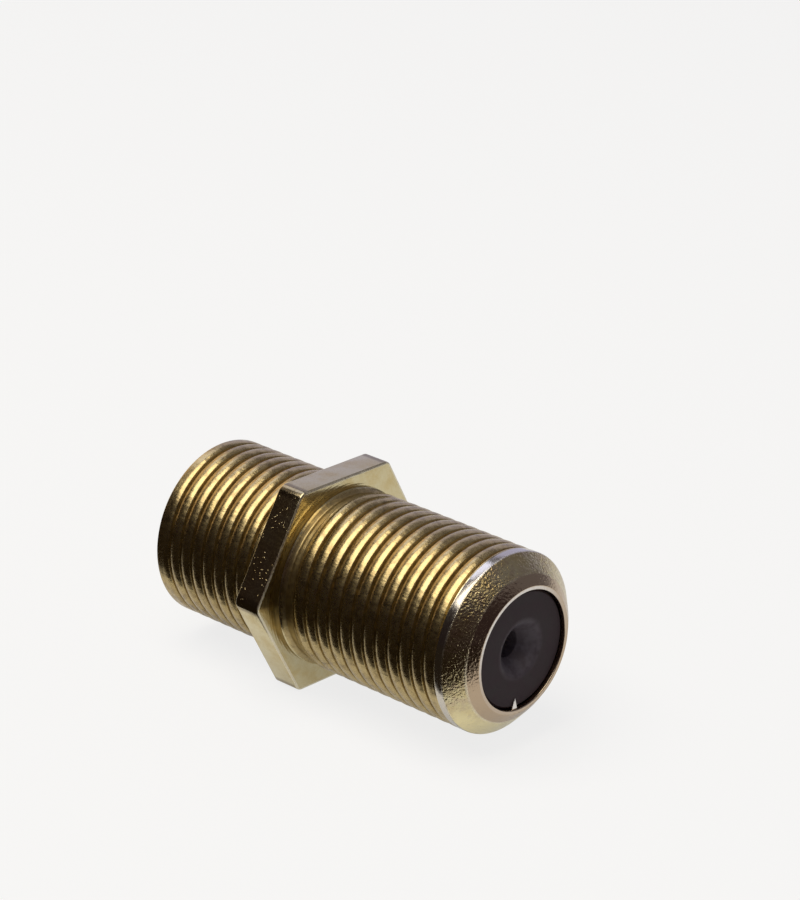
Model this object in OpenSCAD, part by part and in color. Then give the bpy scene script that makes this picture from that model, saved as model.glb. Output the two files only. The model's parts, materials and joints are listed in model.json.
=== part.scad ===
// F-type coaxial barrel: a female-to-female coupler with a hexagonal flange.
// The axis runs along X with the long end at +X, and the origin is on the axis at mid-length.
// One flat of the flange faces down, at -Z.

/* [Body] */
// Length over both rims
overall_l = 21.4; // [19:0.1:28]
// Length of the short end, from the flange to its rim
short_l = 7.7; // [6:0.1:9]
// Thickness of the hexagonal flange
flange_t = 1.6; // [1:0.1:3]
// Flange size across its flats
flange_af = 11; // [10.6:0.1:14]
// Flange size across its rounded corners
flange_ac = 12.45; // [11.8:0.05:16.2]

/* [Thread] */
// Diameter over the thread crests
thread_d = 9.45; // [9.2:0.01:9.9]
// Distance from one crest to the next, 32 to the inch
thread_pitch = 0.79375; // [0.6:0.00625:1]
// Smooth land between the end chamfer and the first groove
lead_land = 0.4; // [0.3:0.05:1]
// Least length of the straight neck behind the long thread
long_neck = 0.3; // [0.05:0.05:2]
// Least length of the straight neck behind the short thread
short_neck = 0.05; // [0.05:0.05:1.5]
// Depth of the necks below the crests
neck_depth = 0.22; // [0.1:0.01:0.4]
// Rise past the crests of the cone that joins a neck to the flange
flare_rise = 0.03; // [0.01:0.01:0.2]

/* [Rims] */
// Radius of the long end's rim, where its chamfer stops
long_rim_r = 3.85; // [3.7:0.01:4.2]
// Radius of the short end's rim, where its chamfer stops
short_rim_r = 4.4; // [3.7:0.01:4.5]
// Fall of the long end's rim from its highest edge to the chamfer
long_rim_fall = 0.4; // [0.1:0.01:0.6]
// Fall of the short end's rim from its highest edge to the chamfer
short_rim_fall = 0.15; // [0.1:0.01:0.4]
// Radius of a rim's inner edge, where it is highest
rim_top_r = 3.27; // [3.2:0.01:3.4]
// Width of the flat on a rim's highest edge
rim_flat = 0.06; // [0.03:0.01:0.15]
// Radius of the mouths
mouth_r = 3.12; // [3:0.01:3.18]
// Depth of the bevel round a mouth
rim_bevel = 0.14; // [0.05:0.01:0.2]
// Thickness of a turned-in lip that holds an insulator
lip_t = 0.5; // [0.4:0.01:1]
// Angle of the end chamfers from the axis
chamfer_angle = 47; // [35:1:55]

/* [Bore] */
// Radius of the bore between the lips
bore_r = 3.45; // [3.3:0.01:3.6]
// Width of the staking tooth at the rim
tooth_w = 0.38; // [0.2:0.01:0.6]
// Reach of the staking tooth past the mouth
tooth_l = 0.55; // [0.2:0.01:0.8]
// Thickness of the staking tooth
tooth_t = 0.12; // [0.08:0.01:0.18]
// Turn of the staking tooth from the lowest point of the rim
tooth_angle = 7; // [-45:1:45]

/* [Insulators] */
// Depth of an insulator's face below the rim
face_recess = 0.2; // [0.19:0.01:0.3]
// Radial play of an insulator in the shell
insulator_play = 0.05; // [0.02:0.01:0.1]
// Thickness of an insulator's end plate behind the lip
plate_t = 2.7; // [2.2:0.1:4]
// Radius of the funnel at the face
funnel_r = 1.45; // [1.1:0.01:2]
// Depth of the funnel
funnel_depth = 0.9; // [0.5:0.05:1.2]
// How far the rounding of the funnel's edge reaches each way
funnel_edge = 0.2; // [0.05:0.01:0.3]
// Bevel round an insulator's nose
nose_bevel = 0.1; // [0.05:0.01:0.15]
// Radius of the hole for the centre wire
wire_hole_r = 0.72; // [0.6:0.01:0.8]
// Length of the hole for the centre wire
wire_hole_l = 0.9; // [0.5:0.05:1.2]
// Wall of the sleeve round the contact
sleeve_wall = 0.8; // [0.6:0.05:1]
// Thickness of the ribs that carry the sleeve
rib_t = 0.8; // [0.5:0.05:1.2]
// Number of ribs that carry the sleeve
rib_count = 4; // [3:1:6]
// Length of the spigot that joins the two sleeves
spigot_l = 1.2; // [0.6:0.1:2]
// Play round the spigot
spigot_play = 0.04; // [0.02:0.01:0.1]
// Play past the end of the spigot
spigot_end_play = 0.1; // [0.05:0.01:0.3]

/* [Contact] */
// Radius of the contact tube
contact_r = 1; // [0.9:0.01:1.05]
// Thickness of the contact's sheet
sheet_t = 0.18; // [0.12:0.01:0.25]
// Inner radius where the tines close on the wire
pinch_r = 0.36; // [0.25:0.01:0.5]
// Distance from a tip to where the tines close
pinch_back = 0.7; // [0.5:0.05:1]
// Length of the slits between the tines
tine_l = 5.5; // [4:0.1:6.5]
// Width of the slits between the tines
slit_w = 0.28; // [0.2:0.01:0.35]
// Width of the seam where the sheet's edges meet
seam_w = 0.1; // [0.05:0.01:0.15]
// Radial play of the contact in its sleeve
contact_play = 0.1; // [0.05:0.01:0.15]
// End play of the contact between the insulators
contact_end_play = 0.1; // [0.05:0.01:0.3]

/* [Hidden] */
$fn = 96;
cut = 1;

// Distances along the axis, from mid-length.
rim_x = overall_l / 2;
face_x = rim_x - face_recess;
seat_x = rim_x - lip_t;
long_l = overall_l - flange_t - short_l;
flange_front = rim_x - long_l;
flange_back = flange_front - flange_t;

// Standard 60-degree thread: an eighth of the pitch is flat at the crest, a quarter at the root.
thread_r = thread_d / 2;
crest_flat = thread_pitch / 8;
root_flat = thread_pitch / 4;
flank_l = (thread_pitch - crest_flat - root_flat) / 2;
thread_depth = flank_l / tan(30);
root_r = thread_r - thread_depth;
neck_r = thread_r - neck_depth;
neck_flank_l = neck_depth * tan(30);
flare_r = thread_r + flare_rise;
flare_l = flare_r - neck_r;

insulator_r = bore_r - insulator_play;
nose_r = mouth_r - insulator_play;
cavity_r = contact_r + contact_play;
sleeve_r = cavity_r + sleeve_wall;
spigot_r = cavity_r + sleeve_wall / 2;
wire_hole_start = face_recess + funnel_depth;
cavity_start = wire_hole_start + wire_hole_l;
contact_half = rim_x - cavity_start - contact_end_play;
flare = pinch_back * tan(25);

// Distance from a rim to the far end of its chamfer.
function chamfer_end(rim_r, rim_fall) = rim_fall + (thread_r - rim_r) / tan(chamfer_angle);

// How many whole grooves fit behind the lead land when the neck keeps its length, its flare and its flank.
function groove_count(thread_end, neck) =
    floor((thread_end - neck - flare_l - neck_flank_l) / thread_pitch);

// One groove of the thread as [radius, distance from the flange].
function groove(start) = [
    [thread_r, start],
    [root_r, start + flank_l],
    [root_r, start + flank_l + root_flat],
    [thread_r, start + 2 * flank_l + root_flat],
];

// Outline of a threaded end, from the flange's face to the axis at the rim.
function end_outline(end_l, neck, rim_r, rim_fall) =
    let (
        chamfer_start = end_l - chamfer_end(rim_r, rim_fall),
        thread_end = chamfer_start - lead_land,
        count = groove_count(thread_end, neck),
        thread_start = thread_end - count * thread_pitch + crest_flat
    )
    [
        [0, -flange_t / 2],
        [flare_r, -flange_t / 2],
        [flare_r, 0],
        [neck_r, flare_l],
        [neck_r, thread_start - crest_flat - neck_flank_l],
        [thread_r, thread_start - crest_flat],
        for (i = [0:count - 1]) each groove(thread_start + i * thread_pitch),
        [thread_r, chamfer_start],
        [rim_r, end_l - rim_fall],
        [rim_top_r + rim_flat, end_l],
        [0, end_l],
    ];

// Turns what was drawn along +Z to lie along +X.
module along_x() {
    rotate([0, 90, 0]) children();
}

// Places what was drawn outward from z = 0 at the flange face of the long or the short end.
module at_front_face() {
    along_x() translate([0, 0, flange_front]) children();
}

module at_back_face() {
    along_x() mirror([0, 0, 1]) translate([0, 0, -flange_back]) children();
}

// A threaded end, still solid inside.
module threaded_end(end_l, neck, rim_r, rim_fall) {
    rotate_extrude() polygon(end_outline(end_l, neck, rim_r, rim_fall));
}

// The flange: a hexagon whose corners were turned round on the bar.
module flange() {
    along_x() translate([0, 0, flange_back]) intersection() {
        rotate([0, 0, 30]) cylinder(h = flange_t, d = flange_af / cos(30), $fn = 6);
        cylinder(h = flange_t, d = flange_ac);
    }
}

// Everything that is open inside the shell: the bore, both mouths and their bevels.
module shell_cavity() {
    bevel_r = mouth_r + (rim_top_r - mouth_r) * (cut + rim_bevel) / rim_bevel;
    along_x() rotate_extrude() polygon([
        [0, -rim_x - cut],
        [bevel_r, -rim_x - cut],
        [mouth_r, -rim_x + rim_bevel],
        [mouth_r, -seat_x],
        [bore_r, -seat_x],
        [bore_r, seat_x],
        [mouth_r, seat_x],
        [mouth_r, rim_x - rim_bevel],
        [bevel_r, rim_x + cut],
        [0, rim_x + cut],
    ]);
}

// The staking tooth, a spike of rim metal that bears on the front insulator's face.
module tooth() {
    root = mouth_r + (lip_t - face_recess) / 2;
    tip = mouth_r - tooth_l;
    along_x() rotate([0, 0, -tooth_angle])
        translate([0, 0, face_x])
            linear_extrude(height = tooth_t)
                polygon([[root, -tooth_w / 2], [root, tooth_w / 2], [tip, 0]]);
}

module shell() color("#b9ae98") {
    difference() {
        union() {
            flange();
            at_front_face() threaded_end(long_l, long_neck, long_rim_r, long_rim_fall);
            at_back_face() threaded_end(short_l, short_neck, short_rim_r, short_rim_fall);
        }
        shell_cavity();
    }
    tooth();
}

// Points on a curve that rounds a corner between two others and reaches the same distance along both sides.
function rounded(before, corner, after, reach, steps = 4) =
    let (
        start = corner + (before - corner) * reach / norm(before - corner),
        stop = corner + (after - corner) * reach / norm(after - corner)
    )
    [
        for (i = [0:steps])
            let (t = i / steps)
            (1 - t) ^ 2 * start + 2 * t * (1 - t) * corner + t ^ 2 * stop
    ];

// Outside of a half of the insulation, as [radius, distance from mid-length]: nose, plate and sleeve.
function insulator_outline() = [
    [0, 0],
    [sleeve_r, 0],
    [sleeve_r, seat_x - plate_t],
    [insulator_r, seat_x - plate_t],
    [insulator_r, seat_x],
    [nose_r, seat_x],
    [nose_r, face_x - nose_bevel],
    [nose_r - nose_bevel, face_x],
    [0, face_x],
];

// The funnel's rounded edge, from its cone out to the insulator's face.
function funnel_edge_curve() =
    let (
        throat = [wire_hole_r, rim_x - wire_hole_start],
        edge = [funnel_r, face_x],
        rim = [nose_r, face_x]
    )
    rounded(throat, edge, rim, funnel_edge);

// Inside of a half of the insulation: cavity for the contact, wire hole and funnel.
function insulator_opening() = [
    [0, -spigot_l - cut],
    [cavity_r, -spigot_l - cut],
    [cavity_r, rim_x - cavity_start],
    [wire_hole_r, rim_x - cavity_start],
    [wire_hole_r, rim_x - wire_hole_start],
    each funnel_edge_curve(),
    [funnel_r + funnel_edge, face_x + cut],
    [0, face_x + cut],
];

// Half of the insulation, with its joint at mid-length and its face towards +X.
module insulator_half(has_spigot) {
    along_x() difference() {
        union() {
            rotate_extrude() polygon(insulator_outline());
            if (has_spigot)
                translate([0, 0, -spigot_l]) cylinder(h = spigot_l + cut, r = spigot_r - spigot_play);
            intersection() {
                for (i = [0:rib_count - 1]) rotate([0, 0, (i + 0.5) * 360 / rib_count])
                    translate([0, -rib_t / 2, 0]) cube([2 * insulator_r, rib_t, seat_x - plate_t + cut]);
                cylinder(h = seat_x, r = insulator_r);
            }
        }
        rotate_extrude() polygon(insulator_opening());
        if (!has_spigot)
            translate([0, 0, -cut]) cylinder(h = spigot_l + spigot_end_play + cut, r = spigot_r);
    }
}

module front_insulator() color("#3d3840") {
    insulator_half(true);
}

module rear_insulator() color("#3d3840") {
    mirror([1, 0, 0]) insulator_half(false);
}

// Inside of the rolled contact as [radius, distance from mid-length], from mid-length to a tip.
function tine_inside() = [
    [contact_r - sheet_t, contact_half - tine_l],
    [pinch_r, contact_half - pinch_back],
    [pinch_r + flare, contact_half],
];

// One contact rolled from sheet: a tube with a seam, and four sprung tines at each end.
module contact() color("#c9a24b") {
    inside = tine_inside();
    front = [for (p = inside) p];
    back = [for (i = [len(inside) - 1:-1:0]) [inside[i][0], -inside[i][1]]];
    wall = concat(back, front);
    along_x() difference() {
        rotate_extrude() polygon(concat(
            wall,
            [for (i = [len(wall) - 1:-1:0]) wall[i] + [sheet_t, 0]]
        ));
        for (end = [0, 1]) mirror([0, 0, end]) translate([0, 0, contact_half - tine_l])
            for (turn = [0, 90]) rotate([0, 0, turn])
                translate([-contact_r - cut, -slit_w / 2, 0])
                    cube([2 * (contact_r + cut), slit_w, tine_l + cut]);
        translate([0, -seam_w / 2, -contact_half]) cube([contact_r + cut, seam_w, 2 * contact_half]);
    }
}

shell();
front_insulator();
rear_insulator();
contact();
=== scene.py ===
"""Female-to-female coaxial coupler: a turned, nickel-plated shell around moulded insulators.

The shell is modelled along +Z, at the places that it has along its own axis, and is then laid
along +X. Sizes are in metres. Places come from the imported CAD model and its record.
"""

import json
import math
from types import SimpleNamespace

import bmesh
import bpy
from bpy.props import FloatProperty, FloatVectorProperty, IntProperty, PointerProperty
from mathutils import Euler, Matrix, Vector


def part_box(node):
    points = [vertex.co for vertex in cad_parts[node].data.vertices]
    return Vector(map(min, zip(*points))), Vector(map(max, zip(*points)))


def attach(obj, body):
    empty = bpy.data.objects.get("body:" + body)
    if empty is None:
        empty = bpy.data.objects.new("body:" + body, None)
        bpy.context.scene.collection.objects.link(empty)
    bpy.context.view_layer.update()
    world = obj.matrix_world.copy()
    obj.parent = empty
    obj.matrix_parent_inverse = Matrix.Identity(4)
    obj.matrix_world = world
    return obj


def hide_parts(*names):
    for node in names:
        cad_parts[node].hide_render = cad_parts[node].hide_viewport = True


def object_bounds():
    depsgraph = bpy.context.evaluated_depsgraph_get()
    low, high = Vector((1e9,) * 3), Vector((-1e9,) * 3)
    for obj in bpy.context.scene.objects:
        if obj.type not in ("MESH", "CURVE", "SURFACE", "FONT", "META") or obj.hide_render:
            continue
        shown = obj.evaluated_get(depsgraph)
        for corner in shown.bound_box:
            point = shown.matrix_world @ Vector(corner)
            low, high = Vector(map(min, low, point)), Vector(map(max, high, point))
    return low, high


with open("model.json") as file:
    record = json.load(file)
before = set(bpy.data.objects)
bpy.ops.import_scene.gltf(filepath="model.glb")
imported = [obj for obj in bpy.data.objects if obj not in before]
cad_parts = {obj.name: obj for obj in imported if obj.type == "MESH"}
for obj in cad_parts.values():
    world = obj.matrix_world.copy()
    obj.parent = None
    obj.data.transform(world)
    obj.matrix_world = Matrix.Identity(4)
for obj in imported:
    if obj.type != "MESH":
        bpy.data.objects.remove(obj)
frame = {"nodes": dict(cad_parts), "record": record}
CAD_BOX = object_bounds()

bl_info = {
    "name": "Coaxial coupler",
    "version": (1, 0, 0),
    "blender": (4, 5, 0),
    "location": "View3D > Sidebar > Coupler",
    "description": "Models and dresses a threaded coaxial coupler around its packed CAD frame",
    "category": "Add Mesh",
}

MM = 0.001
TURN = 2 * math.pi
CROWN_STEPS = 5
SMOOTH_ANGLE = math.radians(35)
BISECT_SLACK = 1e-8
MERGE_SEAMS = 0.002 * MM
MERGE_SLIVERS = 0.006 * MM
SQUARE_TO_FLAT = math.cos(math.pi / 6)
SHADE_SHEET_LIFT = 0.02 * MM
FLOOR_SIZE = 2
SENSOR_WIDTH = 36
MOUNTS = {mount["name"]: mount for mount in frame["record"]["mounts"]}

# Places along the axis and radii that the CAD model settles.
RIM_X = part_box("shell")[1].x
FACE_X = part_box("front_insulator")[1].x
FLANGE_FRONT = MOUNTS["panel_face"]["pos_m"][0]
FLANGE_MIDDLE = MOUNTS["lower_flat"]["pos_m"][0]
FLANGE_T = 2 * (FLANGE_FRONT - FLANGE_MIDDLE)
FLANGE_BACK = FLANGE_FRONT - FLANGE_T
FLANGE_HALF_AF = -MOUNTS["lower_flat"]["pos_m"][2]
THREAD_R = MOUNTS["thread_long"]["dims"]["r_mm"] * MM
FLOOR_Z = CAD_BOX[0].z


def length(name, default_mm, description):
    """A size in metres for a PropertyGroup, with its default in millimetres."""
    return FloatProperty(
        name=name, default=default_mm * MM, description=description,
        unit="LENGTH", subtype="DISTANCE", precision=6,
    )


def angle(name, default_degrees, description):
    """An angle for a PropertyGroup, with its default in degrees."""
    return FloatProperty(
        name=name, default=math.radians(default_degrees), description=description,
        unit="ROTATION", subtype="ANGLE",
    )


def colour(name, default, description):
    """A colour for a PropertyGroup."""
    return FloatVectorProperty(
        name=name, default=default, description=description, subtype="COLOR", size=3, min=0, max=1
    )


def fraction(name, default, description):
    """A fraction from 0 to 1 for a PropertyGroup."""
    return FloatProperty(
        name=name, default=default, description=description, min=0, max=1, subtype="FACTOR"
    )


class CouplerThread(bpy.types.PropertyGroup):
    pitch: length("Pitch", 0.79375, "Distance from one crest to the next, 32 to the inch")
    crest: length("Crest", 0.61, "Width of a rounded crest")
    crown: length("Crown", 0.075, "How far the middle of a crest stands above its edges")
    root: length("Root", 0.04, "Width of the flat at the root before its corners are rounded")
    depth: length("Depth", 0.43, "Depth of the groove below the crest")
    rounding: length("Rounding", 0.05, "How far the plating rounds the grooves' corners")
    long_turn: angle("Long turn", 232, "Where the long end's helix starts")
    short_turn: angle("Short turn", 165, "Where the short end's helix starts")
    long_land: length("Long land", 0.4, "Smooth land between the long thread and its chamfer")
    short_land: length("Short land", 0.2, "Smooth land between the short thread and its chamfer")
    long_neck: length("Long neck", 0.6, "Length of the long end's turned neck at the flange")
    short_neck: length("Short neck", 0.35, "Length of the short end's turned neck at the flange")
    run_out: length("Run-out", 0.4, "Length over which the groove fades at both ends of the thread")
    neck_depth: length("Neck depth", 0.22, "Depth of the neck below the crests")
    flare_rise: length("Flare rise", 0.03, "Rise past the crests of the cone at the flange")
    ripple: length("Ripple", 0.02, "Height of the turning marks on the necks")
    ripple_l: length("Ripple length", 0.3, "Distance from one turning mark to the next")
    segments: IntProperty(name="Segments", default=128, description="Faces round the thread")


class CouplerRims(bpy.types.PropertyGroup):
    long_r: length("Long rim", 3.85, "Radius at the inner edge of the long end's chamfer")
    long_fall: length("Long fall", 0.4, "From the long rim's highest edge back to its chamfer")
    short_r: length("Short rim", 4.4, "Radius at the inner edge of the short end's chamfer")
    short_fall: length("Short fall", 0.15, "From the short rim's highest edge back to its chamfer")
    top_r: length("Top", 3.27, "Radius of a rim's highest edge")
    top_flat: length("Top flat", 0.06, "Width of the flat on the highest edge")
    mouth_r: length("Mouth", 3.12, "Radius of the mouth")
    roll: length("Roll", 0.15, "How far the lip's edge is rounded into the mouth")
    lip: length("Lip", 0.5, "Thickness of the turned-in lip")
    bore_r: length("Bore", 3.45, "Radius of the bore behind the lips")
    chamfer_angle: angle("Chamfer angle", 47, "Angle of the chamfers from the axis")
    edge: length("Edge", 0.04, "How far the chamfers' edges are rounded")


class CouplerTooth(bpy.types.PropertyGroup):
    width: length("Width", 0.46, "Width of the staking tooth at its root, inside the rim")
    reach: length("Reach", 0.55, "Reach of the staking tooth past the mouth")
    thickness: length("Thickness", 0.12, "Thickness of the staking tooth at the rim")
    turn: angle("Turn", 7, "Turn from the lowest point of the rim")
    embed: length("Embed", 0.1, "How far the tooth's root lies inside the rim")
    edge: length("Edge", 0.02, "Width of the bevel on the tooth's edges")
    tip_width: fraction("Tip width", 0.12, "Width of the tip as a share of the root's")
    tip_thickness: fraction("Tip thickness", 0.3, "Thickness of the tip as a share of the root's")


class CouplerFlange(bpy.types.PropertyGroup):
    corner: length("Corner", 0.45, "Radius of the hexagon's six corners")
    ease: length("Ease", 0.03, "How far the flats lie inside the hexagon's full size")
    bevel: length("Bevel", 0.13, "Width of the shallow bevel round each face")
    bevel_angle: angle("Bevel angle", 20, "Slope of the bevel from the face")
    edge: length("Edge", 0.06, "How far the bevel's edges are rounded")


class CouplerPlate(bpy.types.PropertyGroup):
    metal: colour("Metal", (0.67, 0.60, 0.38), "Clean nickel plate")
    tarnish: colour("Tarnish", (0.58, 0.46, 0.22), "Yellowed nickel plate")
    thread: colour("Thread", (0.50, 0.385, 0.18), "Yellowed plate on the threads")
    lip: colour("Lip", (0.50, 0.38, 0.28), "Stained plate on the turned-in lips")
    land: colour("Land", (0.64, 0.61, 0.58), "Smooth plate between the threads and the chamfers")
    # Pale plate: exposed metal on the staking tooth, and painted highlight on the mouths' edges.
    bare_and_highlight: colour("Bare", (0.80, 0.78, 0.76), "Plate rubbed bright on the edges of the mouths")
    # Painted reflection: a bright yellow that stands in for the lit floor mirrored on the chamfers'
    # lower side.
    painted_floor_reflection: colour("Fresh", (0.93, 0.82, 0.47), "Unworn plate on the lower side of the chamfers")
    # Painted shade: the flange's left flat is painted darker.
    left_flat_shade: colour("Smoked", (0.46, 0.34, 0.22), "Darker plate on the flange's left flat")
    # Pale plate on the flange's and chamfers' edges: partly wear and partly painted highlight.
    rubbed_and_highlit: colour("Rubbed", (0.90, 0.85, 0.70), "Plate worn on the flange's and chamfers' edges")
    # Dark brown for smears on the crests and darker grooves, and for painted shade on the short
    # thread's lower side and the hexagon's corners.
    grime_and_shade: colour("Grime", (0.16, 0.11, 0.06), "Dirt at the bottom of the grooves")


class CouplerPlastic(bpy.types.PropertyGroup):
    dark: colour("Dark", (0.020, 0.009, 0.014), "Darker parts of the moulded skin")
    light: colour("Light", (0.034, 0.018, 0.026), "Lighter parts of the moulded skin")
    # Painted light: a lighter, mottled skin in the funnels.
    lit_funnel: colour("Funnel", (0.105, 0.092, 0.112), "Dusty skin of the funnels")
    roughness: fraction("Roughness", 0.5, "Roughness of the moulded skin")
    shine: fraction("Shine", 0.25, "Strength of the moulded skin's reflections")


class CouplerBronze(bpy.types.PropertyGroup):
    clean: colour("Clean", (0.78, 0.60, 0.30), "Clean bronze sheet")
    stained: colour("Stained", (0.60, 0.42, 0.20), "Stained bronze sheet")
    roughness: fraction("Roughness", 0.25, "Roughness of the clean sheet")


class CouplerStage(bpy.types.PropertyGroup):
    room: colour("Room", (0.17, 0.16, 0.175), "Dim room that lights the part from all sides")
    backdrop: colour("Backdrop", (0.93, 0.93, 0.93), "Backdrop, as the camera sees it")
    paper: colour("Paper", (0.78, 0.78, 0.77), "Floor paper")
    paper_seen: fraction("Paper seen", 0.8, "Share of plain white in the floor that is seen")
    paper_mirrored: fraction("Paper mirrored", 0.42, "Share of plain white in the floor's reflection")
    window: colour("Window", (0.52, 0.51, 0.70), "Pale card behind the part on its left")
    warm: colour("Warm", (1.0, 0.72, 0.42), "Warm card on the left")
    dark: colour("Dark", (0.018, 0.012, 0.011), "Dark card in front of the part on its left")
    flag: colour("Flag", (0.04, 0.028, 0.03), "Dark card on the right")
    # Painted shade: a dark sheet that the metal mirrors as shaded floor.
    mat: colour("Mat", (0.02, 0.014, 0.009), "Dark cloth on the floor in front of the part")
    lamp_power: FloatProperty(
        name="Lamp power", default=1.05, description="Power of the overhead lamp", unit="POWER"
    )
    lamp_size: length("Lamp size", 320, "Side of the overhead lamp")
    lamp_distance: length("Lamp distance", 350, "Distance of the overhead lamp from the part")
    lamp_tone: colour("Lamp tone", (1, 0.94, 0.82), "Colour of the overhead lamp")
    lens: FloatProperty(
        name="Lens", default=145.47, description="Focal length in millimetres", unit="CAMERA"
    )
    view_distance: length("View distance", 164.08, "Distance from the camera to its aim")
    aim: FloatVectorProperty(
        name="Aim", default=(-0.00054, 0.00299, 0.00637), description="Point aimed at",
        unit="LENGTH", subtype="TRANSLATION",
    )
    forward: FloatVectorProperty(
        name="Forward", default=(-0.6187, 0.6896, -0.3764), description="Direction of the view",
        subtype="DIRECTION",
    )
    up: FloatVectorProperty(
        name="Up", default=(-0.2763, 0.2574, 0.9259), description="Direction of the upper side",
        subtype="DIRECTION",
    )


class CouplerSettings(bpy.types.PropertyGroup):
    thread: PointerProperty(type=CouplerThread)
    rims: PointerProperty(type=CouplerRims)
    tooth: PointerProperty(type=CouplerTooth)
    flange: PointerProperty(type=CouplerFlange)
    plate: PointerProperty(type=CouplerPlate)
    plastic: PointerProperty(type=CouplerPlastic)
    bronze: PointerProperty(type=CouplerBronze)
    stage: PointerProperty(type=CouplerStage)


# Modelling helpers


def clear_selection():
    if bpy.context.object and bpy.context.object.mode != "OBJECT":
        bpy.ops.object.mode_set(mode="OBJECT")
    bpy.ops.object.select_all(action="DESELECT")


def begin_edit(piece):
    clear_selection()
    bpy.context.view_layer.objects.active = piece
    piece.select_set(True)
    bpy.ops.object.mode_set(mode="EDIT")


def end_edit():
    bpy.ops.object.mode_set(mode="OBJECT")


def pick(piece, chosen):
    """Selects the vertices for which chosen(place) is true, and what lies between them."""
    mesh = bmesh.from_edit_mesh(piece.data)
    bpy.ops.mesh.select_mode(type="VERT")
    bpy.ops.mesh.select_all(action="DESELECT")
    for vertex in mesh.verts:
        vertex.select_set(bool(chosen(vertex.co)))
    mesh.select_flush(True)
    bmesh.update_edit_mesh(piece.data)


def pick_open_edges(piece, chosen=lambda place: True):
    """Selects the open edges for which chosen(place) is true at both ends."""
    bpy.ops.mesh.select_mode(type="EDGE")
    bpy.ops.mesh.select_all(action="DESELECT")
    mesh = bmesh.from_edit_mesh(piece.data)
    count = 0
    for edge in mesh.edges:
        if edge.is_boundary and all(chosen(vertex.co) for vertex in edge.verts):
            edge.select_set(True)
            count += 1
    bmesh.update_edit_mesh(piece.data)
    if not count:
        raise RuntimeError(f"{piece.name} has no open edge there")


def pick_open_ring(piece, height, slack=0.02 * MM):
    """Selects the open ring near a height, and flattens it to it."""
    pick_open_edges(piece, lambda place: abs(place.z - height) < slack)
    bpy.ops.transform.resize(value=(1, 1, 0), center_override=(0, 0, height))


def soften(points, radius, steps=3):
    """Rounds the inner corners of an open outline of (radius, height) points with short curves."""
    corners = [Vector(point) for point in points]
    outline = [corners[0]]
    for before, corner, after in zip(corners, corners[1:], corners[2:]):
        back, ahead = before - corner, after - corner
        cut = min(radius, back.length * 0.45, ahead.length * 0.45)
        start = corner + back.normalized() * cut
        stop = corner + ahead.normalized() * cut
        for step in range(steps + 1):
            share = step / steps
            outline.append(start.lerp(corner, share).lerp(corner.lerp(stop, share), share))
    outline.append(corners[-1])
    return outline


def draw_outline(name, points):
    """Draws an open outline of (radius, height) points in the XZ plane by extruding a vertex."""
    clear_selection()
    bpy.ops.mesh.primitive_plane_add(size=MM)
    piece = bpy.context.object
    piece.name = name
    piece.data.name = name
    bpy.ops.object.mode_set(mode="EDIT")
    bpy.ops.mesh.select_mode(type="VERT")
    bpy.ops.mesh.select_all(action="SELECT")
    bpy.ops.mesh.merge(type="CENTER")
    here = Vector((points[0][0], 0, points[0][1]))
    bpy.ops.transform.translate(value=here)
    for radius, height in points[1:]:
        there = Vector((radius, 0, height))
        bpy.ops.mesh.extrude_region_move(TRANSFORM_OT_translate={"value": there - here})
        here = there
    end_edit()
    return piece


def extrude_rings(radius, height, outline):
    """Extrudes the selected ring through an outline of (radius, height) points."""
    for next_radius, next_height in outline:
        bpy.ops.mesh.extrude_region_move(
            TRANSFORM_OT_translate={"value": (0, 0, next_height - height)}
        )
        share = next_radius / radius
        bpy.ops.transform.resize(value=(share, share, 1), center_override=(0, 0, 0))
        radius, height = next_radius, next_height


def smooth_step(low, high, value):
    share = min(max((value - low) / (high - low), 0), 1)
    return share * share * (3 - 2 * share)


def fade_to_ring(piece, name, radius, weight):
    """Draws the vertices towards a cylinder, by the share that weight(height) gives."""
    group = piece.vertex_groups.new(name=name)
    for vertex in piece.data.vertices:
        share = weight(vertex.co.z)
        if share > 0:
            group.add([vertex.index], share, "REPLACE")
    cast = piece.modifiers.new(name, "CAST")
    cast.cast_type = "CYLINDER"
    cast.factor = 1
    cast.radius = 0
    cast.use_radius_as_size = False
    cast.size = radius
    cast.use_z = False
    cast.vertex_group = name
    clear_selection()
    bpy.context.view_layer.objects.active = piece
    bpy.ops.object.modifier_apply(modifier=cast.name)
    piece.vertex_groups.remove(piece.vertex_groups[name])


def lay_along_axis(piece):
    """Turns a finished piece from +Z to +X and leaves its object at the origin."""
    clear_selection()
    piece.select_set(True)
    bpy.context.view_layer.objects.active = piece
    piece.rotation_euler = Euler((0, math.pi / 2, 0))
    bpy.ops.object.transform_apply(location=True, rotation=True, scale=True)


def ring_outline(sizes):
    """The helix's section over one pitch, from the middle of a crest to the middle of the next."""
    half = sizes.crest / 2
    flank = (sizes.pitch - sizes.crest - sizes.root) / 2
    root_r = THREAD_R - sizes.depth
    edge_r = THREAD_R - sizes.crown
    shares = [step / CROWN_STEPS for step in range(CROWN_STEPS + 1)]
    crown = [(THREAD_R - sizes.crown * share * share, half * share) for share in shares]
    groove = soften(
        [
            crown[-2],
            (edge_r, half),
            (root_r, half + flank),
            (root_r, half + flank + sizes.root),
            (edge_r, sizes.pitch - half),
            (crown[-2][0], sizes.pitch - crown[-2][1]),
        ],
        sizes.rounding,
        2,
    )
    next_crown = [(radius, sizes.pitch - height) for radius, height in reversed(crown[:-2])]
    return crown[:-2] + groove + next_crown


def chamfer_length(rims, rim_r, rim_fall):
    """From a rim's highest edge back to the foot of its chamfer."""
    return rim_fall + (THREAD_R - rim_r) / math.tan(rims.chamfer_angle)


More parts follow.
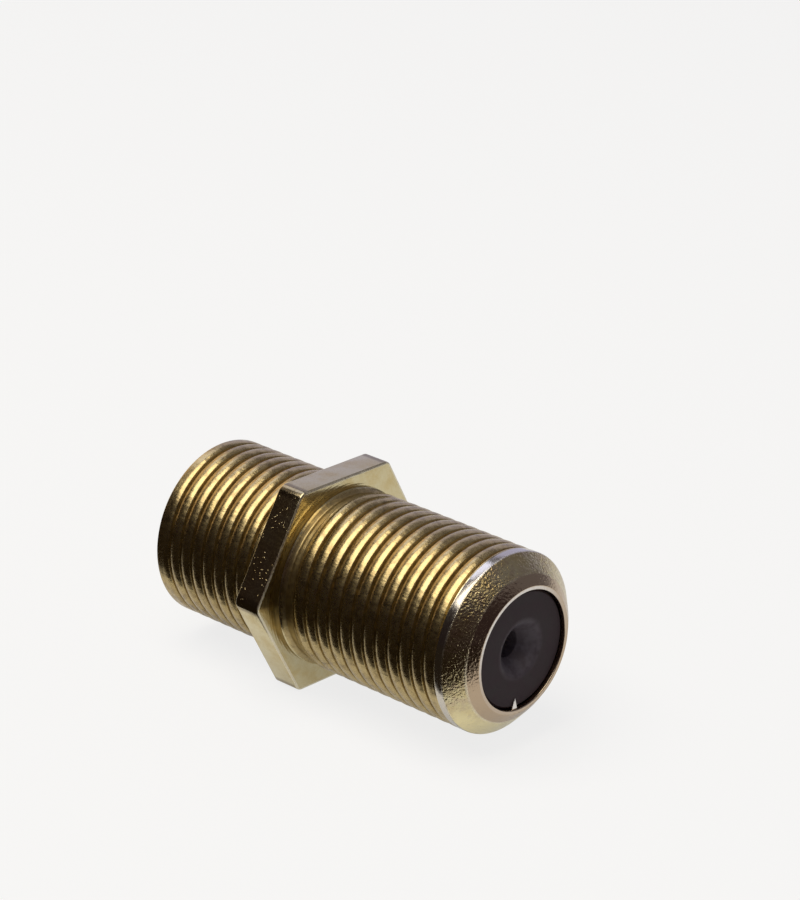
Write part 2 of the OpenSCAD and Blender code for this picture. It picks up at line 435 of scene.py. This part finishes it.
def threaded_end(name, sizes, rims, end_l, neck_l, land, turn, rim_r, rim_fall):
    """One threaded end, standing on the flange's face at height 0 with its mouth at the top."""
    neck_r = THREAD_R - sizes.neck_depth
    chamfer_start = end_l - chamfer_length(rims, rim_r, rim_fall)
    thread_end = chamfer_start - land
    turns = math.ceil((thread_end - neck_l) / sizes.pitch) + 2
    start = thread_end - turns * sizes.pitch + turn / TURN * sizes.pitch

    section = ring_outline(sizes)
    piece = draw_outline(name, [(radius, start + height) for radius, height in section])
    screw = piece.modifiers.new("helix", "SCREW")
    screw.axis = "Z"
    screw.angle = TURN
    screw.screw_offset = sizes.pitch
    screw.iterations = turns + 1
    screw.steps = sizes.segments
    screw.render_steps = sizes.segments
    screw.use_merge_vertices = False
    bpy.ops.object.modifier_apply(modifier=screw.name)

    begin_edit(piece)
    bpy.ops.mesh.select_all(action="SELECT")
    bpy.ops.mesh.remove_doubles(threshold=MERGE_SEAMS)
    bpy.ops.mesh.select_all(action="SELECT")
    bpy.ops.mesh.bisect(
        plane_co=(0, 0, neck_l), plane_no=(0, 0, 1), clear_inner=True, threshold=BISECT_SLACK
    )
    bpy.ops.mesh.select_all(action="SELECT")
    bpy.ops.mesh.bisect(
        plane_co=(0, 0, thread_end), plane_no=(0, 0, 1), clear_outer=True, threshold=BISECT_SLACK
    )
    bpy.ops.mesh.select_all(action="SELECT")
    bpy.ops.mesh.remove_doubles(threshold=MERGE_SLIVERS)
    end_edit()

    run_out = sizes.run_out
    fade_to_ring(
        piece, "neck_run_out", neck_r, lambda z: 1 - smooth_step(neck_l, neck_l + run_out, z)
    )
    fade_to_ring(
        piece, "land_run_out", THREAD_R, lambda z: smooth_step(thread_end - run_out, thread_end, z)
    )

    begin_edit(piece)
    pick_open_ring(piece, neck_l)
    flare = sizes.neck_depth + sizes.flare_rise
    rings = 2 * max(1, round((neck_l - flare) / sizes.ripple_l))
    ripple = [
        (neck_r + (sizes.ripple if ring % 2 else 0), neck_l - (neck_l - flare) * ring / rings)
        for ring in range(rings + 1)
    ]
    foot = soften(ripple + [(neck_r + flare, 0)], sizes.rounding, 2)
    extrude_rings(neck_r, neck_l, foot[1:])

    pick_open_ring(piece, thread_end)
    mouth = soften(
        [
            (THREAD_R, thread_end),
            (THREAD_R, chamfer_start),
            (rim_r, end_l - rim_fall),
            (rims.top_r + rims.top_flat, end_l),
            (rims.top_r, end_l),
        ],
        rims.edge,
    ) + soften(
        [
            (rims.top_r, end_l),
            (rims.mouth_r, end_l),
            (rims.mouth_r, end_l - rims.lip),
            (rims.bore_r, end_l - rims.lip),
        ],
        rims.roll,
        6,
    )[1:]
    extrude_rings(THREAD_R, thread_end, mouth[1:])
    end_edit()
    return piece


def hexagonal_flange(sizes):
    """The flange's edge: a bevelled hexagon, open towards both threaded ends."""
    clear_selection()
    outer = FLANGE_HALF_AF - sizes.ease
    inner = outer - sizes.bevel
    bpy.ops.mesh.primitive_circle_add(
        vertices=6,
        radius=inner / SQUARE_TO_FLAT,
        fill_type="NOTHING",
        location=(0, 0, FLANGE_BACK),
    )
    piece = bpy.context.object
    piece.name = "flange"
    bpy.ops.object.transform_apply(location=True, rotation=True, scale=True)
    begin_edit(piece)
    bpy.ops.mesh.select_mode(type="VERT")
    bpy.ops.mesh.select_all(action="SELECT")
    bpy.ops.mesh.bevel(
        offset=sizes.corner * math.tan(math.pi / 6),
        segments=6,
        affect="VERTICES",
        offset_type="OFFSET",
    )
    bpy.ops.mesh.select_all(action="SELECT")
    fall = sizes.bevel * math.tan(sizes.bevel_angle)
    side = soften(
        [
            (inner, FLANGE_BACK),
            (outer, FLANGE_BACK + fall),
            (outer, FLANGE_FRONT - fall),
            (inner, FLANGE_FRONT),
        ],
        sizes.edge,
        4,
    )
    extrude_rings(inner, FLANGE_BACK, side[1:])
    end_edit()
    return piece


def staking_tooth(tooth, rims):
    """A spike of rim metal pressed onto the front insulator's face, thinning to its tip."""
    root_r = rims.mouth_r + tooth.embed
    reach = tooth.embed + tooth.reach
    clear_selection()
    bpy.ops.mesh.primitive_cube_add(size=1)
    piece = bpy.context.object
    piece.name = "staking_tooth"
    begin_edit(piece)
    bpy.ops.transform.resize(value=(tooth.thickness, tooth.width, reach))
    bpy.ops.transform.translate(value=(tooth.thickness / 2, 0, reach / 2))
    pick(piece, lambda place: place.z > reach / 2)
    bpy.ops.transform.resize(
        value=(tooth.tip_thickness, tooth.tip_width, 1), center_override=(0, 0, reach)
    )
    pick(piece, lambda place: place.x > tooth.thickness / 2 or place.z > reach / 2)
    bpy.ops.mesh.bevel(offset=tooth.edge, segments=2, affect="EDGES", clamp_overlap=True)
    end_edit()
    piece.rotation_euler = Euler((-tooth.turn, 0, 0))
    piece.location = Matrix.Rotation(-tooth.turn, 3, "X") @ Vector((FACE_X, 0, -root_r))
    bpy.ops.object.transform_apply(location=True, rotation=True, scale=True)
    return piece


def merge_shell(long_end, short_end, flange):
    """Joins the ends to the flange, and closes the faces and the bore between them."""
    clear_selection()
    for piece in (long_end, short_end, flange):
        piece.select_set(True)
    bpy.context.view_layer.objects.active = long_end
    bpy.ops.object.join()
    shell = bpy.context.object
    begin_edit(shell)
    for face in (FLANGE_FRONT, FLANGE_BACK):
        pick_open_ring(shell, face)
        bpy.ops.mesh.fill(use_beauty=True)
    pick_open_edges(shell)
    bpy.ops.mesh.bridge_edge_loops()
    bpy.ops.mesh.select_all(action="SELECT")
    bpy.ops.mesh.normals_make_consistent(inside=False)
    end_edit()
    return shell


class COUPLER_OT_shell(bpy.types.Operator):
    """Models the turned shell with its helical threads, flange, rims and staking tooth"""

    bl_idname = "coupler.shell"
    bl_label = "Shell"
    bl_options = {"REGISTER", "UNDO"}

    def execute(self, context):
        settings = context.scene.coupler
        thread, rims = settings.thread, settings.rims
        long_l = RIM_X - FLANGE_FRONT
        short_l = FLANGE_BACK + RIM_X
        long_end = threaded_end(
            "long_end",
            thread,
            rims,
            end_l=long_l,
            neck_l=thread.long_neck,
            land=thread.long_land,
            turn=thread.long_turn,
            rim_r=rims.long_r,
            rim_fall=rims.long_fall,
        )
        short_end = threaded_end(
            "short_end",
            thread,
            rims,
            end_l=short_l,
            neck_l=thread.short_neck,
            land=thread.short_land,
            turn=thread.short_turn,
            rim_r=rims.short_r,
            rim_fall=rims.short_fall,
        )
        long_end.location.z = FLANGE_FRONT
        short_end.location.z = FLANGE_BACK
        short_end.rotation_euler = Euler((math.pi, 0, 0))
        for piece in (long_end, short_end):
            clear_selection()
            piece.select_set(True)
            context.view_layer.objects.active = piece
            bpy.ops.object.transform_apply(location=True, rotation=True, scale=True)
        flange = hexagonal_flange(settings.flange)
        shell = merge_shell(long_end, short_end, flange)
        shell.name = "turned_shell"
        shell.data.name = "turned_shell"
        lay_along_axis(shell)
        tooth = staking_tooth(settings.tooth, rims)
        clear_selection()
        tooth.select_set(True)
        shell.select_set(True)
        context.view_layer.objects.active = shell
        bpy.ops.object.join()
        bpy.ops.object.shade_smooth_by_angle(angle=SMOOTH_ANGLE)
        shell.data.materials.clear()
        shell.data.materials.append(nickel_plate(settings))
        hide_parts("shell")
        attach(shell, "root")
        return {"FINISHED"}


# Finishes

# Where the lips end and the threads begin, in millimetres from the axis.
LIP_R = 3.9
LIP_SOFT = 0.1


def new_node(tree, kind, settings=None, inputs=None):
    """Adds a node: first its settings, and then its inputs, which are numbers, colours or wires."""
    node = tree.nodes.new(kind)
    for name, value in (settings or {}).items():
        setattr(node, name, value)
    for name, value in (inputs or {}).items():
        if isinstance(value, Wire):
            tree.links.new(value.socket, node.inputs[name])
        else:
            node.inputs[name].default_value = value
    return node


class Wire:
    """An output socket whose arithmetic adds Math nodes."""

    def __init__(self, tree, socket):
        self.tree = tree
        self.socket = socket

    def node(self, kind, settings=None, inputs=None, output=0):
        node = new_node(self.tree, kind, settings, inputs)
        return Wire(self.tree, node.outputs[output])

    def math(self, operation, *values):
        return self.node("ShaderNodeMath", {"operation": operation}, dict(enumerate(values)))

    def __add__(self, other):
        return self.math("ADD", self, other)

    def __radd__(self, other):
        return self.math("ADD", other, self)

    def __sub__(self, other):
        return self.math("SUBTRACT", self, other)

    def __rsub__(self, other):
        return self.math("SUBTRACT", other, self)

    def __mul__(self, other):
        return self.math("MULTIPLY", self, other)

    def __rmul__(self, other):
        return self.math("MULTIPLY", other, self)

    def __truediv__(self, other):
        return self.math("DIVIDE", self, other)

    def __rtruediv__(self, other):
        return self.math("DIVIDE", other, self)

    def __pow__(self, other):
        return self.math("POWER", self, other)

    def __neg__(self):
        return self.math("MULTIPLY", self, -1)

    def __abs__(self):
        return self.math("ABSOLUTE", self)

    def at_least(self, other):
        return self.math("MAXIMUM", self, other)

    def sine(self):
        return self.math("SINE", self)

    def rise(self, low, high):
        """Goes smoothly from 0 at low to 1 at high, or falls where low is the larger."""
        start, stop, ends = (low, high, (0, 1)) if low < high else (high, low, (1, 0))
        return self.node(
            "ShaderNodeMapRange",
            {"interpolation_type": "SMOOTHSTEP"},
            {
                "Value": self,
                "From Min": start,
                "From Max": stop,
                "To Min": ends[0],
                "To Max": ends[1],
            },
        )

    def between(self, low, high, soft):
        """1 between two values, and 0 past a soft edge outside them."""
        return self.rise(low - soft, low) * self.rise(high + soft, high)


class Finish:
    """A material in the making, with the coordinates that its patterns read, in millimetres."""

    def __init__(self, name):
        self.material = bpy.data.materials.new(name)
        self.material.use_nodes = True
        self.tree = self.material.node_tree
        self.shader = self.tree.nodes["Principled BSDF"]
        place = self.node("ShaderNodeTexCoord", output="Object")
        self.place = self.node(
            "ShaderNodeVectorMath", {"operation": "SCALE"}, {0: place, "Scale": 1 / MM}
        )
        self.x, self.y, self.z = (
            self.node("ShaderNodeSeparateXYZ", inputs={0: self.place}, output=axis)
            for axis in "XYZ"
        )
        self.radius = (self.y * self.y + self.z * self.z) ** 0.5

    def node(self, kind, settings=None, inputs=None, output=0):
        return Wire(self.tree, new_node(self.tree, kind, settings, inputs).outputs[output])

    def noise(self, scale, detail=2, place=None, roughness=0.5):
        """Noise from 0 to 1 with that many features to the millimetre."""
        return self.node(
            "ShaderNodeTexNoise",
            inputs={
                "Vector": place or self.place,
                "Scale": scale,
                "Detail": detail,
                "Roughness": roughness,
            },
        )

    def stretched(self, along, across):
        """Coordinates scaled along the part's axis and across it."""
        return self.node(
            "ShaderNodeVectorMath",
            {"operation": "MULTIPLY"},
            {0: self.place, 1: (along, across, across)},
        )

    def mix(self, factor, first, second):
        """Goes from the first colour to the second as the factor goes from 0 to 1."""
        node = new_node(self.tree, "ShaderNodeMix", {"data_type": "RGBA"}, {"Factor": factor})
        for socket, value in ((node.inputs[6], first), (node.inputs[7], second)):
            if isinstance(value, Wire):
                self.tree.links.new(value.socket, socket)
            else:
                socket.default_value = (*value, 1)
        return Wire(self.tree, node.outputs[2])

    def bump(self, height, distance_mm):
        """A bump as deep as that distance where the height rises by 1."""
        return self.node(
            "ShaderNodeBump", inputs={"Height": height, "Distance": distance_mm * MM, "Strength": 1}
        )

    def set(self, **values):
        """Sets the shader's sockets, by names with underscores for spaces."""
        for name, value in values.items():
            socket = self.shader.inputs[name.replace("_", " ")]
            if isinstance(value, Wire):
                self.tree.links.new(value.socket, socket)
            else:
                socket.default_value = value
        return self.material


def plate_areas(finish, settings):
    """The shell's areas, each 1 inside and 0 outside. Numbers are millimetres."""
    rims = settings.rims
    rim, crest = RIM_X / MM, THREAD_R / MM
    front, back = FLANGE_FRONT / MM, FLANGE_BACK / MM
    land_l = settings.thread.long_land / MM
    long_cone = rim - chamfer_length(rims, rims.long_r, rims.long_fall) / MM
    short_cone = chamfer_length(rims, rims.short_r, rims.short_fall) / MM - rim
    long_r = rims.long_r / MM
    x, y, z, radius = finish.x, finish.y, finish.z, finish.radius
    area = SimpleNamespace()

    area.flange = radius.rise(crest + 0.04, crest + 0.06)
    threads = x.between(front + 0.1, long_cone - land_l - 0.1, 0.1)
    threads = threads + x.between(short_cone, back - 0.1, 0.05)
    area.threads = threads * radius.rise(LIP_R, LIP_R + LIP_SOFT) * (1 - area.flange)
    area.groove = area.threads * radius.rise(crest - 0.04, crest - 0.2)
    area.land = x.between(long_cone - land_l, long_cone, 0.05)
    area.land = area.land * radius.rise(crest - 0.06, crest - 0.02)

    cone = x.rise(long_cone - 0.02, long_cone + 0.04) + x.rise(short_cone + 0.02, short_cone - 0.04)
    area.cone = cone * radius.rise(3.2, 3.3)
    lips = x.rise(rim - 0.45, rim - 0.35) + x.rise(0.2 - rim, 0.1 - rim)
    area.lips = lips * radius.rise(LIP_R, LIP_R - LIP_SOFT)
    area.mouth_edge = x.rise(rim - 0.1, rim - 0.05) * radius.rise(3.33, 3.28)
    area.tooth = radius.rise(3.1, 3.05) * x.rise(rim - 0.6, rim - 0.5)
    area.cone_edges = radius.between(long_r - 0.03, long_r + 0.04, 0.03) * area.cone
    area.cone_edges = area.cone_edges + x.between(long_cone - 0.03, long_cone + 0.03, 0.03)

    # How far out a place lies, square to the hexagon's nearest flat.
    left = z * 0.5 - y * SQUARE_TO_FLAT
    right = z * 0.5 + y * SQUARE_TO_FLAT
    across = abs(left).at_least(abs(right)).at_least(abs(z))
    edges = x.rise(front - 0.07, front - 0.05) + x.rise(back + 0.07, back + 0.05)
    area.flange_edges = area.flange * edges * across.rise(5.33, 5.36)
    area.flats = area.flange * x.between(back + 0.12, front - 0.12, 0.03) * across.rise(5.3, 5.35)
    area.left_flat = area.flats * left.rise(5.3, 5.4)
    area.faces = area.flange * radius.rise(5.6, 5.4)
    return area


def plate_colour(finish, plate, area, marks):
    """Clean and yellowed plate, stains, darker grooves, painted shade, a painted floor reflection,
    and pale edges that are partly wear and partly painted highlight.
    """
    z = finish.z
    yellowing = marks.patches * 0.7 + marks.mottle * 0.2
    colour = finish.mix(yellowing, tuple(plate.metal), tuple(plate.tarnish))
    threads = area.threads * (0.85 + 0.15 * marks.patches)
    colour = finish.mix(threads, colour, tuple(plate.thread))
    colour = finish.mix(area.land * 0.8, colour, tuple(plate.land))

    cone = area.cone * (1 - area.lips)
    # Painted reflection of the lit floor on the chamfers' lower side.
    colour = finish.mix(cone * z.rise(-1.8, -3.2) * 0.9, colour, tuple(plate.painted_floor_reflection))
    # Stains on the chamfers, faded out towards their lower side, where the painted reflection lies.
    burnt = finish.noise(1.7, 5, roughness=0.75).rise(0.47, 0.6) * z.rise(-4.2, -1.5)
    colour = finish.mix(area.lips * 0.85 + cone * burnt * 0.45, colour, tuple(plate.lip))

    # Darker at the bottom of the grooves; random smears on the crests.
    in_grooves = area.groove * (0.15 + 0.25 * finish.noise(3, 3).rise(0.35, 0.6))
    smears = finish.noise(2.2, 4, roughness=0.7).rise(0.42, 0.72) * 0.6
    on_crests = area.threads * (1 - area.groove) * smears
    # Painted shade: the lower side of the short end's thread is darkened.
    shade_underneath = area.threads * finish.x.rise(-2, -4) * z.rise(-1.5, -3.5) * 0.3
    colour = finish.mix(in_grooves + on_crests + shade_underneath, colour, tuple(plate.grime_and_shade))
    # Painted shade on the flange's left flat.
    colour = finish.mix(area.left_flat * 0.1, colour, tuple(plate.left_flat_shade))
    # Painted shade: the hexagon's rounded corners are darkened to dim the highlight that they catch.
    corners = area.flats * finish.radius.rise(6.05, 6.15)
    colour = finish.mix(corners * 0.6, colour, tuple(plate.grime_and_shade))

    # Pale edges: partly wear and partly painted highlight.
    colour = finish.mix(marks.worn * 0.85, colour, tuple(plate.rubbed_and_highlit))
    # Painted highlight on the mouths' edges, brightest on top and towards -Y, with some wear; the
    # staking tooth is exposed metal.
    rubbed_and_highlit = (0.2 + 0.8 * z.rise(-2, 1.5)) * (0.2 + 0.8 * finish.y.rise(3, 0.5))
    rubbed_and_highlit = area.mouth_edge * rubbed_and_highlit * (0.6 + 0.4 * marks.mottle)
    return finish.mix(rubbed_and_highlit + area.tooth, colour, tuple(plate.bare_and_highlight))


def plate_relief(finish, area, marks):
    """Grain, pits, turning lines, chatter on the threads, and scratches on the left flat."""
    grain = finish.noise(14, 2)
    hammered = finish.noise(8, 2)
    turned = finish.noise(1, 1, finish.stretched(18, 0.5))
    chatter = finish.noise(1, 2, finish.stretched(0.8, 2.2))
    rings = (finish.radius * 42).sine() * 0.5 + 0.5
    dots = finish.node(
        "ShaderNodeTexVoronoi",
        {"feature": "F1"},
        {"Vector": finish.place, "Scale": 7, "Randomness": 1},
    ).rise(0.24, 0.08)
    specks = dots * area.left_flat * finish.noise(1.6, 3).rise(0.45, 0.6)
    return (
        grain * (0.15 * area.flange + 0.3)
        + marks.pits * (area.cone * (1 - area.mouth_edge * 0.7) * 1.5 + area.flange * 0.2)
        + hammered * area.cone * (1 - area.lips * 0.5 - area.mouth_edge * 0.5) * 7
        + specks * 2.5
        + turned * (area.threads * 0.4 + area.cone * 0.5)
        + chatter * area.threads * 4
        + rings * area.faces * 0.3
    )


def nickel_plate(settings):
    """Nickel plate, yellowed in patches, with turning lines, grained flats, darker grooves, painted
    shade, a painted floor reflection and painted highlights.
    """
    finish = Finish("nickel_plate")
    area = plate_areas(finish, settings)
    marks = SimpleNamespace(
        patches=finish.noise(0.9, 4, roughness=0.6).rise(0.35, 0.7),
        mottle=finish.noise(9, 3).rise(0.3, 0.7),
        pits=finish.noise(3.6, 4, roughness=0.7),
    )
    # The flange's and chamfers' edges, painted pale: partly wear and partly painted highlight.
    on_flange = area.flange_edges * (0.5 + 0.5 * marks.mottle)
    marks.worn = area.cone_edges * marks.patches * 0.6 + on_flange
    roughness = 0.13 + 0.08 * marks.mottle + 0.1 * area.groove + 0.11 * area.threads
    return finish.set(
        Base_Color=plate_colour(finish, settings.plate, area, marks),
        Metallic=1,
        Roughness=roughness + 0.25 * marks.worn,
        Normal=finish.bump(plate_relief(finish, area, marks), 0.006),
    )


def dark_plastic(plastic):
    """Moulded plastic with a dull, faintly uneven skin, and painted light in the funnels."""
    finish = Finish("dark_plastic")
    mottle = finish.noise(1.5, 4).rise(0.3, 0.7)
    colour = finish.mix(mottle, tuple(plastic.dark), tuple(plastic.light))
    # Painted light: the funnels are lighter, with a random mottle.
    lit_funnel = finish.radius.rise(1.75, 1.3) * (0.6 + 0.4 * finish.noise(2.2, 3).rise(0.35, 0.6))
    colour = finish.mix(lit_funnel, colour, tuple(plastic.lit_funnel))
    normal = finish.bump(finish.noise(12, 3), 0.004)
    roughness = plastic.roughness + 0.1 * mottle
    return finish.set(
        Base_Color=colour, Roughness=roughness, Specular_IOR_Level=plastic.shine, Normal=normal
    )


def spring_bronze(bronze):
    """Bare bronze sheet, a little uneven in colour."""
    finish = Finish("spring_bronze")
    stain = finish.noise(1.2, 4).rise(0.3, 0.7)
    colour = finish.mix(stain, tuple(bronze.clean), tuple(bronze.stained))
    normal = finish.bump(finish.noise(1, 2, finish.stretched(1.5, 14)), 0.004)
    roughness = bronze.roughness + 0.15 * stain
    return finish.set(Base_Color=colour, Metallic=1, Roughness=roughness, Normal=normal)


def dress(node, material):
    """Gives a CAD node that stays in view its finish."""
    for slot in frame["nodes"][node].material_slots:
        slot.material = material


class COUPLER_OT_insulators(bpy.types.Operator):
    """Gives both insulators their moulded finish"""

    bl_idname = "coupler.insulators"
    bl_label = "Insulators"
    bl_options = {"REGISTER", "UNDO"}

    def execute(self, context):
        material = dark_plastic(context.scene.coupler.plastic)
        dress("front_insulator", material)
        dress("rear_insulator", material)
        return {"FINISHED"}


class COUPLER_OT_contact(bpy.types.Operator):
    """Gives the sprung contact its bronze finish"""

    bl_idname = "coupler.contact"
    bl_label = "Contact"
    bl_options = {"REGISTER", "UNDO"}

    def execute(self, context):
        dress("contact", spring_bronze(context.scene.coupler.bronze))
        return {"FINISHED"}


# The stage

# Bluish and warm cards, brighter than white.
HUNG_GLOW = (1.3, 1.35, 1.7)
SPARK_GLOW = (1.7, 1.4, 0.9)
# Painted shade: where the dark sheet that the metal mirrors as shaded floor begins.
SHADE_EDGE_Y = -6.8 * MM


def floor_paper(stage):
    """White paper that keeps soft shadows, lighter to the camera and to mirrors than to lamps."""
    material = bpy.data.materials.new("floor_paper")
    material.use_nodes = True
    tree = material.node_tree
    paper = tree.nodes["Principled BSDF"]
    paper.inputs["Base Color"].default_value = (*stage.paper, 1)
    paper.inputs["Roughness"].default_value = 0.9
    rays = new_node(tree, "ShaderNodeLightPath")
    camera, glossy, through = (
        Wire(tree, rays.outputs[name])
        for name in ("Is Camera Ray", "Is Glossy Ray", "Is Transmission Ray")
    )
    seen = camera * stage.paper_seen + (glossy + through) * stage.paper_mirrored
    white = new_node(tree, "ShaderNodeEmission", None, {"Color": (1, 1, 1, 1), "Strength": 1})
    mix = new_node(tree, "ShaderNodeMixShader", None, {"Fac": seen})
    tree.links.new(paper.outputs[0], mix.inputs[1])
    tree.links.new(white.outputs[0], mix.inputs[2])
    tree.links.new(mix.outputs[0], tree.nodes["Material Output"].inputs["Surface"])
    return material


def show_in_metal_only(card, tone):
    """Gives a card an even tone, and hides it from all but mirrored light."""
    material = bpy.data.materials.new(card.name)
    material.use_nodes = True
    tree = material.node_tree
    tree.nodes.remove(tree.nodes["Principled BSDF"])
    glow = new_node(tree, "ShaderNodeEmission", None, {"Color": (*tone, 1), "Strength": 1})
    tree.links.new(glow.outputs[0], tree.nodes["Material Output"].inputs["Surface"])
    card.data.materials.append(material)
    card.visible_camera = False
    card.visible_diffuse = False
    card.visible_shadow = False
    return card


def standing_card(name, bearing, distance, width, height, tone):
    """A card that stands on the floor, at a bearing in degrees from +X, and faces the part."""
    clear_selection()
    bpy.ops.mesh.primitive_plane_add(size=1)
    card = bpy.context.object
    card.name = name
    turn = math.radians(bearing)
    card.scale = (width, height, 1)
    card.rotation_euler = Euler((math.pi / 2, 0, turn + math.pi / 2))
    card.location = (distance * math.cos(turn), distance * math.sin(turn), FLOOR_Z + height / 2)
    return show_in_metal_only(card, tone)


def hung_card(name, direction, distance, size, tone):
    """A square card that hangs in that direction and faces the part."""
    card = standing_card(name, 0, distance, size, size, tone)
    towards = Vector(direction).normalized()
    card.location = towards * distance
    card.rotation_euler = towards.to_track_quat("Z", "Y").to_euler()
    return card


def dark_mat(name, size, edge_y, tone):
    """A dark sheet on the floor in front of the part, seen only in reflections: painted shade of the
    floor there.
    """
    clear_selection()
    bpy.ops.mesh.primitive_plane_add(
        size=size, location=(0, edge_y - size / 2, FLOOR_Z + SHADE_SHEET_LIFT)
    )
    mat = bpy.context.object
    mat.name = name
    return show_in_metal_only(mat, tone)


def soft_lamp(name, direction, distance, size, power, tone):
    """A square area lamp at a distance in that direction, facing the part."""
    lamp = bpy.data.lights.new(name, "AREA")
    lamp.shape = "SQUARE"
    lamp.size = size
    lamp.energy = power
    lamp.color = tone
    holder = bpy.data.objects.new(name, lamp)
    bpy.context.scene.collection.objects.link(holder)
    place = Vector(direction).normalized() * distance
    holder.location = place
    holder.rotation_euler = place.to_track_quat("Z", "Y").to_euler()
    return holder


def dim_room(stage):
    """A dim room that the camera sees as a pale backdrop."""
    world = bpy.data.worlds.new("studio")
    world.use_nodes = True
    tree = world.node_tree
    room = tree.nodes["Background"]
    room.inputs["Color"].default_value = (*stage.room, 1)
    backdrop = new_node(tree, "ShaderNodeBackground")
    backdrop.inputs["Color"].default_value = (*stage.backdrop, 1)
    rays = new_node(tree, "ShaderNodeLightPath")
    seen = Wire(tree, rays.outputs["Is Camera Ray"])
    mix = new_node(tree, "ShaderNodeMixShader", None, {"Fac": seen})
    tree.links.new(room.outputs[0], mix.inputs[1])
    tree.links.new(backdrop.outputs[0], mix.inputs[2])
    tree.links.new(mix.outputs[0], tree.nodes["World Output"].inputs["Surface"])
    return world


def fitted_camera(stage):
    """A camera at a distance from its aim, turned a little about its own view."""
    forward = Vector(stage.forward).normalized()
    right = forward.cross(Vector(stage.up)).normalized()
    up = right.cross(forward)
    camera = bpy.data.cameras.new("camera")
    camera.sensor_fit = "HORIZONTAL"
    camera.sensor_width = SENSOR_WIDTH
    camera.lens = stage.lens
    camera.clip_start = MM
    holder = bpy.data.objects.new("camera", camera)
    bpy.context.scene.collection.objects.link(holder)
    turn = Matrix((right, up, -forward)).transposed()
    place = Vector(stage.aim) - forward * stage.view_distance
    holder.matrix_world = Matrix.Translation(place) @ turn.to_4x4()
    return holder


class COUPLER_OT_stage(bpy.types.Operator):
    """Sets up the floor, the surroundings, the lamp and the camera"""

    bl_idname = "coupler.stage"
    bl_label = "Stage"

    def execute(self, context):
        scene = context.scene
        stage = scene.coupler.stage
        scene.view_settings.view_transform = "Standard"
        scene.world = dim_room(stage)
        clear_selection()
        bpy.ops.mesh.primitive_plane_add(size=FLOOR_SIZE, location=(0, 0, FLOOR_Z))
        floor = context.object
        floor.name = "floor"
        floor.data.materials.append(floor_paper(stage))
        standing_card("dark_card", -125, 0.2, width=0.7, height=0.17, tone=stage.dark)
        standing_card("dark_flag", -15, 0.25, width=0.6, height=0.2, tone=stage.flag)
        standing_card("pale_card", 122, 0.25, width=0.34, height=0.2, tone=stage.window)
        standing_card("warm_card", 170, 0.24, width=0.2, height=0.22, tone=stage.warm)
        hung_card("hung_card", (-0.63, 0.22, 0.74), 0.3, size=0.13, tone=HUNG_GLOW)
        hung_card("spark_card", (0.42, -0.12, 0.90), 0.3, size=0.12, tone=SPARK_GLOW)
        # Painted shade of the floor near the part, seen only in reflections.
        dark_mat("dark_mat", 0.6, edge_y=SHADE_EDGE_Y, tone=stage.mat)
        soft_lamp(
            "overhead_softbox",
            direction=(-0.10, -0.33, 0.94),
            distance=stage.lamp_distance,
            size=stage.lamp_size,
            power=stage.lamp_power,
            tone=stage.lamp_tone,
        )
        scene.camera = fitted_camera(stage)
        return {"FINISHED"}


class COUPLER_PT_sidebar(bpy.types.Panel):
    """Lists the coupler's pieces and its stage"""

    bl_label = "Coaxial coupler"
    bl_idname = "COUPLER_PT_sidebar"
    bl_space_type = "VIEW_3D"
    bl_region_type = "UI"
    bl_category = "Coupler"

    def draw(self, context):
        for operator in OPERATORS:
            self.layout.operator(operator.bl_idname)


OPERATORS = (
    COUPLER_OT_shell,
    COUPLER_OT_insulators,
    COUPLER_OT_contact,
    COUPLER_OT_stage,
)
CLASSES = (
    CouplerThread,
    CouplerRims,
    CouplerTooth,
    CouplerFlange,
    CouplerPlate,
    CouplerPlastic,
    CouplerBronze,
    CouplerStage,
    CouplerSettings,
    *OPERATORS,
    COUPLER_PT_sidebar,
)


def register():
    for cls in CLASSES:
        bpy.utils.register_class(cls)
    bpy.types.Scene.coupler = PointerProperty(type=CouplerSettings)


def unregister():
    del bpy.types.Scene.coupler
    for cls in reversed(CLASSES):
        bpy.utils.unregister_class(cls)


def main():
    register()
    bpy.ops.coupler.shell()
    bpy.ops.coupler.insulators()
    bpy.ops.coupler.contact()
    bpy.ops.coupler.stage()


if __name__ == "__main__":
    main()
